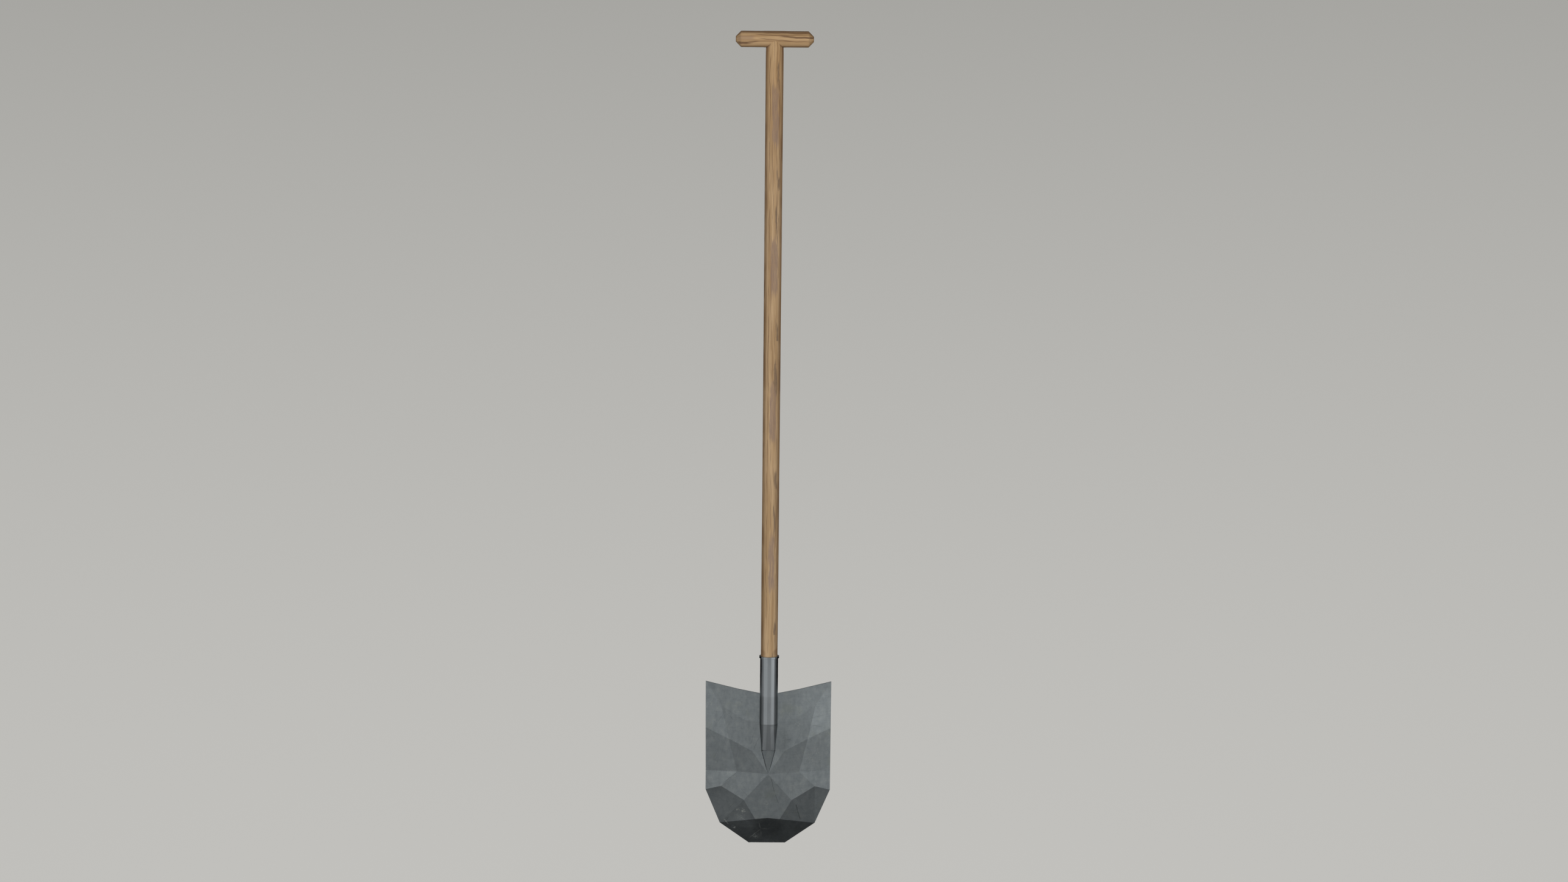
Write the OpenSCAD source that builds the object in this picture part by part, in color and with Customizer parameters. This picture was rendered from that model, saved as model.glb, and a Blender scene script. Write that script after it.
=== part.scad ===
// Detecting shovel with a wooden T-grip: a turned shaft is fox-wedged into a cross grip at the top and
// riveted into a sixteen-sided steel socket at the bottom. The socket runs down the outside of a
// folded, dished steel blade and ends in a forged point.
// The frame's origin is where the grip's axis crosses the shaft's axis. +Z is up, X lies along the grip,
// and +Y points into the blade's scoop.

/* [Overall] */
// Distance from the grip's axis down to the cutting edge
overall_l = 1342.5; // [1150:0.5:1450]

/* [T-grip] */
// Length of the grip from end to end
grip_l = 125; // [110:0.5:150]
// Diameter of each hand grip
grip_d = 26.2; // [25.4:0.1:28]
// Length and depth of the 45 degree end chamfers
grip_chamfer = 8.6; // [4:0.1:9.5]
// Length of the slightly fuller hub around the joint
hub_l = 34; // [32:1:40]
// Diameter of the hub
hub_d = 26.6; // [26.3:0.1:28.4]

/* [Shaft] */
// Diameter just below the grip
shaft_head_d = 28.8; // [28.2:0.1:29.4]
// Diameter along the middle of the shaft
shaft_waist_d = 27.9; // [27.5:0.1:28.5]
// Diameter at the socket's mouth
shaft_foot_d = 27.5; // [27.3:0.1:27.6]
// Diameter of the shaft's tenon, which ends inside the grip
tenon_d = 16; // [12:0.5:18]
// Height of the blind mortise's floor above the grip's axis
mortise_h = 7; // [5:0.5:9]
// Thickness of the hidden hardwood wedge at its wide end
wedge_t = 3.2; // [2.4:0.1:4]
// Length of the wedge, which the mortise's floor drives into the tenon
wedge_l = 16; // [10:0.5:18]

/* [Socket] */
// Width across the socket's corners
socket_d = 30; // [29.8:0.1:31]
// Bore of the socket, a close fit on the shaft
socket_bore_d = 27.2; // [27:0.1:27.2]
// Height of the socket's mouth above the cutting edge
socket_mouth_h = 332.2; // [326:0.1:345]
// Height at which the tube ends and the forged taper starts
taper_top_h = 220; // [218:0.5:222]
// Height at which the taper ends and the flat point starts
taper_end_h = 175.5; // [172:0.5:180]
// Width of the taper's flattened small end
taper_end_w = 22.9; // [21.5:0.1:24]
// Width of the flat along the taper's front, at the small end
taper_flat_w = 7.8; // [7:0.1:8.4]
// How far the taper's small end stands in front of the shaft's axis
taper_end_front = 2.8; // [2.4:0.1:3.2]
// Height of the collar at the socket's mouth
collar_h = 3.7; // [3:0.1:5]
// How far the collar's corners stand out past the socket's corners
collar_proud = 1.45; // [0.8:0.05:1.8]
// Diameter of the two flush rivets through the socket and the shaft
rivet_d = 5; // [4:0.1:5.4]

/* [Blade] */
// Thickness of the blade plate, measured front to back
blade_t = 2.5; // [2:0.1:3]
// Half of the blade's greatest width
blade_half_w = 103.9; // [100:0.1:108]
// Half of the straight cutting edge
edge_half_w = 30.4; // [24:0.1:36]
// Depth of the cutting edge behind the shaft's axis
edge_depth = 74; // [68:0.5:80]

/* [Hidden] */

$fn = 96;
socket_sides = 16;
edge_z = -overall_l;
mouth_z = edge_z + socket_mouth_h;
taper_top_z = edge_z + taper_top_h;
taper_end_z = edge_z + taper_end_h;

// The blade's corners as [half width, height above the cutting edge, depth behind the shaft's axis].
// First the corners on the centre line, from the top down.
centre_corners = [
    [0, 269.5, 14.5],  // 0 top edge, behind the socket
    [0, 220.5, 15],    // 1 bottom of the trough that the tube beds into
    [0, 136.5, -2.5],  // 2 nose, the foremost corner, where the socket's point ends
    [0, 54, 28.8],     // 3 lower fold
    [0, 0, edge_depth] // 4 cutting edge
];
// Then the corners of one half.
side_corners = [
    [14.5, 269, 15.2],                 // 5 top edge beside the socket
    [50, 274.5, 22.4],                 // 6 top edge, middle
    [blade_half_w, 284.5, 36.9],       // 7 shoulder
    [15, 220.5, 11.7],                 // 8 first fold, inner
    [40.5, 224, 16.7],                 // 9 first fold, middle
    [78, 246, 26.9],                   // 10 first fold, outer
    [blade_half_w - 0.3, 207, 32.4],   // 11 side edge, upper fold
    [65.5, 191.5, 18.3],               // 12 second fold, outer
    [26.5, 173, 8.3],                  // 13 second fold, inner
    [blade_half_w - 0.9, 137.5, 20.2], // 14 side edge, nose fold
    [51.5, 139, 5.2],                  // 15 nose fold, middle
    [blade_half_w - 0.8, 104.5, 22.3], // 16 side edge, lower corner
    [77.5, 112, 14.9],                 // 17 cheek fold, outer
    [39.5, 88, 15.3],                  // 18 cheek fold, inner
    [20.5, 52, 29.4],                  // 19 lower fold, beside the centre
    [79.2, 41, 48],                    // 20 lower corner
    [edge_half_w, 0, edge_depth]       // 21 end of the cutting edge
];
// The flat facets of one half, as triangles of corner numbers
facets = [
    [0, 5, 8], [0, 8, 1],
    [5, 6, 9], [5, 9, 8],
    [6, 7, 10], [6, 10, 9],
    [7, 11, 10], [11, 12, 10],
    [10, 12, 9], [12, 13, 9],
    [9, 13, 8],
    [8, 13, 2], [8, 2, 1],
    [11, 14, 12], [14, 15, 12],
    [12, 15, 13], [15, 2, 13],
    [14, 16, 17], [14, 17, 15],
    [15, 17, 18], [15, 18, 2],
    [2, 18, 19], [2, 19, 3],
    [17, 16, 20], [17, 20, 18],
    [18, 20, 19],
    [19, 20, 21], [19, 21, 4], [19, 4, 3]
];
// The outline of one half, from the top centre round to the middle of the cutting edge
outline = [0, 5, 6, 7, 11, 14, 16, 20, 21, 4];

n_centre = len(centre_corners);
n_side = len(side_corners);
n_front = n_centre + 2 * n_side;

// Number of the mirrored corner of corner i
function other(i) = i < n_centre ? i : i + n_side;

// Places a corner: side is 1 or -1, back is the distance behind the front surface
function place(c, side, back) = [side * c[0], c[2] + back, edge_z + c[1]];

// One full layer of corners
function layer(back) = concat(
    [for (c = centre_corners) place(c, 1, back)],
    [for (c = side_corners) place(c, 1, back)],
    [for (c = side_corners) place(c, -1, back)]
);

// The folded plate, from its front surface back by t
module folded_plate(t) {
    right = facets;
    left = [for (f = facets) [other(f[0]), other(f[2]), other(f[1])]];
    front = concat(right, left);
    back = [for (f = front) [f[0] + n_front, f[2] + n_front, f[1] + n_front]];
    last = len(outline) - 1;
    rim_right = [for (i = [0 : last - 1])
        [outline[i], outline[i] + n_front, outline[i + 1] + n_front, outline[i + 1]]];
    rim_left = [for (i = [0 : last - 1])
        [other(outline[i + 1]), other(outline[i + 1]) + n_front,
         other(outline[i]) + n_front, other(outline[i])]];
    polyhedron(concat(layer(0), layer(t)), concat(front, back, rim_right, rim_left), convexity = 8);
}

// Everything behind the blade's front surface, used to trim what lies on it
module behind_blade() {
    folded_plate(90);
}

// Corners of the socket's cross-section, with one flat side facing the front
function ring(d, y, z) = [for (i = [0 : socket_sides - 1])
    let (a = 360 * (i + 0.5) / socket_sides) [d / 2 * cos(a), y + d / 2 * sin(a), z]];

// Corners of the taper's flattened small end, in the same order as a ring's. Every side keeps the direction of
// the tube's matching side, so that the flats between the two stay flat, and only its length changes.
cheek_l = 6.2;
arris_l = 0.9;
side_l = 4.6;
function run(length, a) = [length * cos(a), length * sin(a)];
function flattened_ring(w, flat_w, front, z) =
    let (
        turn = 360 / socket_sides,
        p0 = [flat_w / 2, -front],
        p1 = p0 + run(cheek_l, turn),
        p2 = p1 + run(arris_l, 2 * turn),
        p3 = p2 + run((w / 2 - p2[0]) / cos(3 * turn), 3 * turn),
        quarter = [p0, p1, p2, p3],
        back_y = 2 * p3[1] + side_l,
        back_right = [for (i = [3 : -1 : 0]) [quarter[i][0], back_y - quarter[i][1], z]],
        back_left = [for (p = quarter) [-p[0], back_y - p[1], z]],
        front_left = [for (i = [3 : -1 : 0]) [-quarter[i][0], quarter[i][1], z]],
        front_right = [for (p = quarter) [p[0], p[1], z]]
    )
    concat(back_right, back_left, front_left, front_right);

// Straight or tapered run of the sixteen-sided section between two rings
module sided_run(low, high) {
    n = socket_sides;
    sides = [for (i = [0 : n - 1]) [i, i + n, (i + 1) % n + n, (i + 1) % n]];
    bottom = [for (i = [0 : n - 1]) i];
    top = [for (i = [n - 1 : -1 : 0]) i + n];
    polyhedron(concat(low, high), concat(sides, [bottom], [top]), convexity = 2);
}

// Flat outline of the sixteen-sided section, d across its corners
module sided_outline(d) {
    polygon([for (p = ring(d, 0, 0)) [p[0], p[1]]]);
}

// Outer form of the straight tube
module tube_form() {
    translate([0, 0, taper_top_z])
        linear_extrude(mouth_z - taper_top_z)
            sided_outline(socket_d);
}

// Grip form without its mortise, about the X axis
grip_r = grip_d / 2;
end_r = grip_r - grip_chamfer;
hub_ramp = 1;
module grip_form() {
    rotate([0, 90, 0])
        rotate_extrude()
            polygon([
                [0, -grip_l / 2],
                [end_r, -grip_l / 2],
                [grip_r, -grip_l / 2 + grip_chamfer],
                [grip_r, -hub_l / 2 - hub_ramp],
                [hub_d / 2, -hub_l / 2],
                [hub_d / 2, hub_l / 2],
                [grip_r, hub_l / 2 + hub_ramp],
                [grip_r, grip_l / 2 - grip_chamfer],
                [end_r, grip_l / 2],
                [0, grip_l / 2]
            ]);
}

// Blind mortise in the grip, open from below
module mortise() {
    translate([0, 0, -hub_d])
        cylinder(d = tenon_d, h = hub_d + mortise_h);
}

// Wedge form, thin end down, its width across the grip's grain
wedge_tip_t = 0.8;
module wedge_form(width) {
    translate([0, width / 2, 0])
        rotate([90, 0, 0])
            linear_extrude(width)
                polygon([
                    [-wedge_tip_t / 2, mortise_h - wedge_l],
                    [wedge_tip_t / 2, mortise_h - wedge_l],
                    [wedge_t / 2, mortise_h],
                    [-wedge_t / 2, mortise_h]
                ]);
}

rivet_heights = [302, 250];
module rivet_set(length) {
    for (h = rivet_heights)
        translate([-length / 2, 0, edge_z + h])
            rotate([0, 90, 0])
                cylinder(d = rivet_d, h = length);
}

blade_steel = "slategray";
socket_steel = "lightslategray";
ash_wood = "burlywood";

module blade() {
    color(blade_steel)
        difference() {
            folded_plate(blade_t);
            tube_form();
        }
}

// The shaft's end stands this far off the socket's floor
floor_gap = 0.5;
floor_t = 6;
module socket() {
    color(socket_steel) {
        difference() {
            tube_form();
            translate([0, 0, taper_top_z + floor_t])
                cylinder(d = socket_bore_d, h = mouth_z - taper_top_z);
            rivet_set(socket_d + 2);
        }
        difference() {
            sided_run(
                flattened_ring(taper_end_w, taper_flat_w, taper_end_front, taper_end_z),
                ring(socket_d, 0, taper_top_z)
            );
            behind_blade();
        }
    }
}

// Flat forged point between the taper and the blade's nose. Its side walls lean outwards from the front face.
point_tip_h = 137.2;
point_top_y = -1.2;
point_tip_stand = 0.9;
point_deep_y = 30;
wall_out = 1.15;
wall_back = 2.8;
module socket_point() {
    half_w = taper_end_w / 2;
    face_w = half_w - wall_out;
    top_z = taper_end_z;
    tip_y = centre_corners[2][2] - point_tip_stand;
    tip_z = edge_z + point_tip_h;
    color(socket_steel)
        difference() {
            polyhedron(
                [
                    [-face_w, point_top_y, top_z],
                    [face_w, point_top_y, top_z],
                    [half_w, point_top_y + wall_back, top_z],
                    [half_w, point_deep_y, top_z],
                    [-half_w, point_deep_y, top_z],
                    [-half_w, point_top_y + wall_back, top_z],
                    [0, tip_y, tip_z],
                    [wall_out, tip_y + wall_back, tip_z],
                    [wall_out, point_deep_y, tip_z],
                    [-wall_out, point_deep_y, tip_z],
                    [-wall_out, tip_y + wall_back, tip_z]
                ],
                [
                    [0, 5, 4, 3, 2, 1],
                    [6, 7, 8, 9, 10],
                    [0, 1, 6],
                    [1, 2, 7, 6],
                    [2, 3, 8, 7],
                    [3, 4, 9, 8],
                    [4, 5, 10, 9],
                    [5, 0, 6, 10]
                ]
            );
            behind_blade();
        }
}

// Forged band that stiffens the socket's mouth, with the tube's sixteen sides
module socket_collar() {
    color(socket_steel)
        translate([0, 0, mouth_z])
            difference() {
                linear_extrude(collar_h)
                    sided_outline(socket_d + 2 * collar_proud);
                translate([0, 0, -1])
                    cylinder(d = shaft_foot_d, h = collar_h + 2);
            }
}

// Solid rivets, peened flush with the flats on the socket's two sides
module socket_rivets() {
    color("gray")
        rivet_set(socket_d * cos(180 / socket_sides));
}

// Weld between the back of the tube and the blade, on one side
weld_r = 2.8;
module weld_seam(side) {
    top = [10.5, 13.3, edge_z + 264];
    low = [11.8, 10.3, edge_z + 222.5];
    run = low - top;
    lean_x = atan2(run[0], -run[2]);
    lean_y = atan2(run[1], -run[2]);
    color("dimgray")
        difference() {
            mirror([side < 0 ? 1 : 0, 0, 0])
                translate(top)
                    rotate([lean_y, -lean_x, 0])
                        mirror([0, 0, 1])
                            cylinder(r = weld_r, h = norm(run));
            tube_form();
            behind_blade();
        }
}

module weld_left() {
    weld_seam(-1);
}

module weld_right() {
    weld_seam(1);
}

// Turned shaft: a coped head with a blind tenon, a slight taper, and a parallel foot in the socket
waist_top_h = 702;
waist_end_h = 472;
neck_h = 11;
tenon_gap = 0.5;
module shaft() {
    foot_z = taper_top_z + floor_t + floor_gap;
    color(ash_wood)
        difference() {
            union() {
                difference() {
                    rotate_extrude()
                        polygon([
                            [0, foot_z],
                            [socket_bore_d / 2, foot_z],
                            [socket_bore_d / 2, mouth_z],
                            [shaft_foot_d / 2, mouth_z],
                            [shaft_waist_d / 2, edge_z + waist_end_h],
                            [shaft_waist_d / 2, edge_z + waist_top_h],
                            [shaft_head_d / 2, -grip_r - neck_h],
                            [shaft_head_d / 2 - 0.3, -grip_r],
                            [hub_d / 2 - 0.5, 0],
                            [0, 0]
                        ]);
                    grip_form();
                }
                translate([0, 0, -hub_d / 2 - 1])
                    cylinder(d = tenon_d, h = hub_d / 2 + 1 + mortise_h - tenon_gap);
            }
            wedge_form(tenon_d + 2);
            rivet_set(socket_d);
        }
}

module grip() {
    color(ash_wood)
        difference() {
            grip_form();
            mortise();
        }
}

module grip_wedge() {
    color("saddlebrown")
        intersection() {
            wedge_form(tenon_d + 2);
            mortise();
        }
}

blade();
socket();
socket_point();
socket_collar();
socket_rivets();
weld_left();
weld_right();
shaft();
grip();
grip_wedge();
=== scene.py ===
"""Detecting shovel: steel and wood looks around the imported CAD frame."""

import math
import random

import bmesh
import bpy
from mathutils import Matrix, Vector, noise


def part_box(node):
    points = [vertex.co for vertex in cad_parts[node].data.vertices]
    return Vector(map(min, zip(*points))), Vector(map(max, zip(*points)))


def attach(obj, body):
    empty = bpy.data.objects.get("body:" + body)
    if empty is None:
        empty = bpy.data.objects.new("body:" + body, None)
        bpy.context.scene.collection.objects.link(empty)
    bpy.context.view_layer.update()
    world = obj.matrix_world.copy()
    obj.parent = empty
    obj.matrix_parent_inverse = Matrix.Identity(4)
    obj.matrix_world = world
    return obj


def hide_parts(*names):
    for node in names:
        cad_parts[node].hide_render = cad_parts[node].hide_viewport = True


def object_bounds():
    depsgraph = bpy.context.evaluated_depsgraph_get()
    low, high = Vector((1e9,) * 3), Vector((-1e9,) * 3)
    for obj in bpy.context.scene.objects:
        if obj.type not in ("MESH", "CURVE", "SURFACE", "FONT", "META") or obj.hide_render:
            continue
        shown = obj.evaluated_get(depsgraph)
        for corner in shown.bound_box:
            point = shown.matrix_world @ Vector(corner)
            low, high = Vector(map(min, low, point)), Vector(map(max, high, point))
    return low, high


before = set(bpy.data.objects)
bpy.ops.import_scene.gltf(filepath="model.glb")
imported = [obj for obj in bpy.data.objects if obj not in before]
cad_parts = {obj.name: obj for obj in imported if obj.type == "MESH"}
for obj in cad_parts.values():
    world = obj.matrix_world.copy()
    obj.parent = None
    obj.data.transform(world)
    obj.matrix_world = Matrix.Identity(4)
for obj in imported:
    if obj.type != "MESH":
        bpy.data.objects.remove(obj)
CAD_LOW, CAD_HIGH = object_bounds()
ROOT = "root"

# ---------------------------------------------------------------- places, from the frame's boxes
GRIP_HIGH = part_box("grip")[1]
SHAFT_LOW, SHAFT_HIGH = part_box("shaft")
SOCKET_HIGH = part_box("socket")[1]
COLLAR_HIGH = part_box("socket_collar")[1]
RIVETS_LOW, RIVETS_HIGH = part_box("socket_rivets")
POINT_LOW, POINT_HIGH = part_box("socket_point")
EDGE_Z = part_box("blade")[0].z
MOUTH_Z = SOCKET_HIGH.z
# heights above the cutting edge where the tube turns into the taper, and where it meets the blade's top
TAPER_TOP = EDGE_Z + 0.220
BLADE_TOP_Z = EDGE_Z + 0.2705
# radii of the grip's bar and of the flat faces at its ends
GRIP_R = 0.0131
GRIP_FACE_R = 0.0045


# ---------------------------------------------------------------- camera
def make_camera():
    """A long lens a little above and to the left of the shovel's front, rolled by half a degree."""
    azimuth, elevation, roll = math.radians(1.2), math.radians(8.5), math.radians(0.56)
    distance = 5.6725
    target = Vector((0.0209, 0.0, -0.6501))
    forward = Vector((
        math.sin(azimuth) * math.cos(elevation),
        math.cos(azimuth) * math.cos(elevation),
        -math.sin(elevation),
    ))
    data = bpy.data.cameras.new("camera")
    data.lens = 80.0
    data.sensor_width = 36.0
    data.clip_start = 0.1
    data.clip_end = 600.0
    camera = bpy.data.objects.new("camera", data)
    bpy.context.scene.collection.objects.link(camera)
    camera.location = target - forward * distance
    turn = forward.to_track_quat("-Z", "Y").to_matrix().to_4x4() @ Matrix.Rotation(roll, 4, "Z")
    camera.matrix_world = Matrix.Translation(camera.location) @ turn
    bpy.context.scene.camera = camera


# ---------------------------------------------------------------- small node language
class Graph:
    """Builds one material's nodes. Values may be numbers, tuples or output sockets."""

    def __init__(self, name):
        self.material = bpy.data.materials.new(name)
        self.material.use_nodes = True
        self.tree = self.material.node_tree
        self.tree.nodes.clear()
        self.shader = self.tree.nodes.new("ShaderNodeBsdfPrincipled")
        out = self.tree.nodes.new("ShaderNodeOutputMaterial")
        self.tree.links.new(self.shader.outputs[0], out.inputs[0])
        self.coord = self.tree.nodes.new("ShaderNodeTexCoord")
        self.place = self.coord.outputs["Object"]
        split = self.tree.nodes.new("ShaderNodeSeparateXYZ")
        self.tree.links.new(self.place, split.inputs[0])
        self.x, self.y, self.z = split.outputs

    def put(self, socket, value):
        """Links an output socket to an input, or sets the input to a number or a colour."""
        if isinstance(value, bpy.types.NodeSocket):
            self.tree.links.new(value, socket)
        elif isinstance(value, tuple) and len(value) == 3 and socket.type == "RGBA":
            socket.default_value = (*value, 1.0)
        else:
            socket.default_value = value

    def math(self, operation, *values, clamp=False):
        node = self.tree.nodes.new("ShaderNodeMath")
        node.operation = operation
        node.use_clamp = clamp
        for socket, value in zip(node.inputs, values):
            self.put(socket, value)
        return node.outputs[0]

    def add(self, a, b):
        return self.math("ADD", a, b)

    def sub(self, a, b):
        return self.math("SUBTRACT", a, b)

    def mul(self, a, b):
        return self.math("MULTIPLY", a, b)

    def invert(self, a):
        return self.math("SUBTRACT", 1.0, a)

    def step(self, value, low, high):
        """Smooth step from 0 at low to 1 at high."""
        node = self.tree.nodes.new("ShaderNodeMapRange")
        node.interpolation_type = "SMOOTHSTEP"
        self.put(node.inputs["Value"], value)
        node.inputs["From Min"].default_value = low
        node.inputs["From Max"].default_value = high
        return node.outputs["Result"]

    def window(self, value, centre, half, soft):
        """1 within half of centre, falling to 0 over soft."""
        away = self.math("ABSOLUTE", self.sub(value, centre))
        return self.invert(self.step(away, half, half + soft))

    def scaled(self, x, y, z, move=(0.0, 0.0, 0.0)):
        """The place in object space, scaled and then moved."""
        node = self.tree.nodes.new("ShaderNodeMapping")
        self.put(node.inputs["Vector"], self.place)
        node.inputs["Scale"].default_value = (x, y, z)
        node.inputs["Location"].default_value = move
        return node.outputs[0]

    def vector(self, x, y, z):
        node = self.tree.nodes.new("ShaderNodeCombineXYZ")
        for socket, value in zip(node.inputs, (x, y, z)):
            self.put(socket, value)
        return node.outputs[0]

    def noise(self, place, scale=1.0, detail=2.0, rough=0.5, distort=0.0):
        node = self.tree.nodes.new("ShaderNodeTexNoise")
        self.put(node.inputs["Vector"], place)
        node.inputs["Scale"].default_value = scale
        node.inputs["Detail"].default_value = detail
        node.inputs["Roughness"].default_value = rough
        node.inputs["Distortion"].default_value = distort
        return node.outputs["Fac"]

    def cells(self, place, scale):
        """Distance to the nearest of many scattered points."""
        node = self.tree.nodes.new("ShaderNodeTexVoronoi")
        self.put(node.inputs["Vector"], place)
        node.inputs["Scale"].default_value = scale
        return node.outputs["Distance"]

    def near(self, x, z, size):
        """1 at a place in the XZ plane, falling to 0 at the given distance."""
        node = self.tree.nodes.new("ShaderNodeVectorMath")
        node.operation = "DISTANCE"
        self.put(node.inputs[0], self.vector(self.x, 0.0, self.z))
        node.inputs[1].default_value = (x, 0.0, z)
        return self.invert(self.step(node.outputs["Value"], size * 0.4, size))

    def front(self):
        """1 on faces that look towards -Y, 0 on those that look back."""
        split = self.tree.nodes.new("ShaderNodeSeparateXYZ")
        self.tree.links.new(self.coord.outputs["Normal"], split.inputs[0])
        return self.step(self.mul(split.outputs[1], -1.0), 0.02, 0.15)

    def mix(self, share, a, b, blend="MIX"):
        node = self.tree.nodes.new("ShaderNodeMix")
        node.data_type = "RGBA"
        node.blend_type = blend
        self.put(node.inputs[0], share)
        self.put(node.inputs[6], a)
        self.put(node.inputs[7], b)
        return node.outputs[2]

    def tint(self, base, mask, strength, color):
        """Mixes a colour into base where the mask is 1, by the given strength."""
        return self.mix(self.mul(mask, strength), base, color)

    def dim(self, tone, mask, strength):
        """Takes a share of tone away where the mask is 1."""
        return self.mul(tone, self.invert(self.mul(mask, strength)))

    def bump(self, height, distance, strength):
        node = self.tree.nodes.new("ShaderNodeBump")
        node.inputs["Strength"].default_value = strength
        node.inputs["Distance"].default_value = distance
        self.put(node.inputs["Height"], height)
        return node.outputs[0]

    def finish(self, color, roughness, metallic, normal, **uniform):
        """Fills in the shader's inputs and hands back the material."""
        self.put(self.shader.inputs["Base Color"], color)
        self.put(self.shader.inputs["Roughness"], roughness)
        self.shader.inputs["Metallic"].default_value = metallic
        self.put(self.shader.inputs["Normal"], normal)
        for name, value in uniform.items():
            self.shader.inputs[name.replace("_", " ")].default_value = value
        return self.material


# ---------------------------------------------------------------- materials
def hairlines(g, lean_degrees, spacing, length, width, seed):
    """Mask of sparse hair-thin scratches across the XZ plane, leaning from upright, of uneven length."""
    lean = math.radians(lean_degrees)
    bend = g.mul(g.noise(g.scaled(11.0, 11.0, 11.0, (seed, 0.0, 0.0)), 1.0, 1.0), 0.016)
    along = g.add(g.mul(g.x, math.sin(lean)), g.mul(g.z, math.cos(lean)))
    across = g.sub(g.mul(g.x, math.cos(lean)), g.mul(g.z, math.sin(lean)))
    lane = g.mul(g.add(across, bend), 1.0 / spacing)
    row = g.mul(along, 1.0 / length)
    node = g.tree.nodes.new("ShaderNodeTexVoronoi")
    g.put(node.inputs["Vector"], g.vector(lane, seed * 3.7, row))
    node.inputs["Scale"].default_value = 1.0
    centre = g.tree.nodes.new("ShaderNodeSeparateXYZ")
    g.put(centre.inputs[0], node.outputs["Position"])
    off = g.math("ABSOLUTE", g.sub(lane, centre.outputs[0]))
    thin = g.invert(g.step(off, 0.0, width / spacing))
    chance = g.noise(node.outputs["Position"], 3.1, 0.0)
    pick = g.step(chance, 0.50, 0.62)
    reach = g.add(0.08, g.mul(g.noise(node.outputs["Position"], 7.7, 0.0), 0.5))
    away = g.math("ABSOLUTE", g.sub(row, centre.outputs[2]))
    near = g.invert(g.math("DIVIDE", away, reach, clamp=True))
    return g.mul(g.mul(thin, pick), near)


def mark(g, start, end, width):
    """Mask of one scratch between two (x, z) points, thinning out towards both ends."""
    dx, dz = end[0] - start[0], end[1] - start[1]
    length = math.hypot(dx, dz)
    ux, uz = dx / length, dz / length
    px, pz = g.sub(g.x, start[0]), g.sub(g.z, start[1])
    along = g.add(g.mul(px, ux), g.mul(pz, uz))
    wander = g.mul(g.sub(g.noise(g.scaled(150.0, 150.0, 150.0), 1.0, 2.0), 0.5), 0.0022)
    across = g.math("ABSOLUTE", g.add(g.sub(g.mul(px, uz), g.mul(pz, ux)), wander))
    share = g.mul(along, 1.0 / length)
    ends = g.invert(g.step(g.math("ABSOLUTE", g.sub(share, 0.5)), 0.30, 0.52))
    return g.mul(g.invert(g.step(across, width * 0.15, width)), ends)


def most(g, *masks):
    """The strongest of several masks."""
    top = masks[0]
    for mask in masks[1:]:
        top = g.math("MAXIMUM", top, mask)
    return top


def marks(g, rows):
    """Mask of all the scratches in a table like DARK_MARKS."""
    return most(g, *[
        g.mul(mark(g, (x0, EDGE_Z + h0), (x1, EDGE_Z + h1), width), share)
        for (x0, h0), (x1, h1), width, share in rows
    ])


# Marks on the blade: (x, height above the cutting edge) at both ends, half width, and how strong they are
DARK_MARKS = (
    ((0.0040, 0.132), (0.0120, 0.099), 0.0007, 0.75),
    ((0.0120, 0.100), (0.0186, 0.080), 0.0007, 0.60),
    ((0.0470, 0.080), (0.0506, 0.065), 0.0010, 0.95),
    ((0.0500, 0.068), (0.0550, 0.048), 0.0010, 0.95),
    ((-0.0140, 0.199), (-0.0250, 0.174), 0.0006, 0.40),
    ((-0.0225, 0.205), (-0.0295, 0.184), 0.0007, 0.30),
    ((-0.0497, 0.139), (-0.0760, 0.116), 0.0006, 0.45),
    ((-0.0625, 0.229), (-0.0585, 0.223), 0.0006, 0.55),
    ((0.0700, 0.226), (0.0910, 0.229), 0.0006, 0.35),
    ((0.0720, 0.213), (0.0890, 0.211), 0.0007, 0.35),
    ((-0.0640, 0.053), (-0.0755, 0.038), 0.0009, 0.90),
    ((-0.0560, 0.081), (-0.0640, 0.070), 0.0007, 0.45),
    ((0.0540, 0.090), (0.0535, 0.082), 0.0008, 0.50),
    ((0.0200, 0.190), (0.0400, 0.193), 0.0006, 0.30),
    ((0.0380, 0.166), (0.0500, 0.168), 0.0006, 0.30),
)
PALE_MARKS = (
    ((-0.0105, 0.0305), (-0.0300, 0.0095), 0.0006, 0.60),
    ((-0.0138, 0.0440), (-0.0105, 0.0300), 0.0006, 0.55),
    ((-0.0106, 0.0305), (-0.0100, 0.0145), 0.0005, 0.45),
    ((-0.0110, 0.0298), (0.0055, 0.0305), 0.0006, 0.50),
    ((0.0000, 0.0360), (0.0070, 0.0470), 0.0005, 0.25),
    ((-0.0730, 0.0492), (-0.0638, 0.0380), 0.0007, 0.75),
    ((-0.0525, 0.0590), (-0.0300, 0.0438), 0.0006, 0.30),
    ((-0.0440, 0.0725), (-0.0370, 0.0680), 0.0006, 0.50),
)
# Places with fine pale specks: (x, height above the cutting edge), radius and strength
PALE_SPECKS = (
    ((0.0222, 0.2390), 0.0065, 0.60),
    ((0.0480, 0.2170), 0.0080, 0.50),
    ((0.0405, 0.2470), 0.0070, 0.40),
    ((0.0760, 0.1610), 0.0200, 0.32),
    ((0.0480, 0.1080), 0.0180, 0.26),
    ((-0.0440, 0.0570), 0.0100, 0.50),
    ((-0.0440, 0.2080), 0.0065, 0.40),
    ((-0.0180, 0.0150), 0.0110, 0.55),
)
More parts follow.
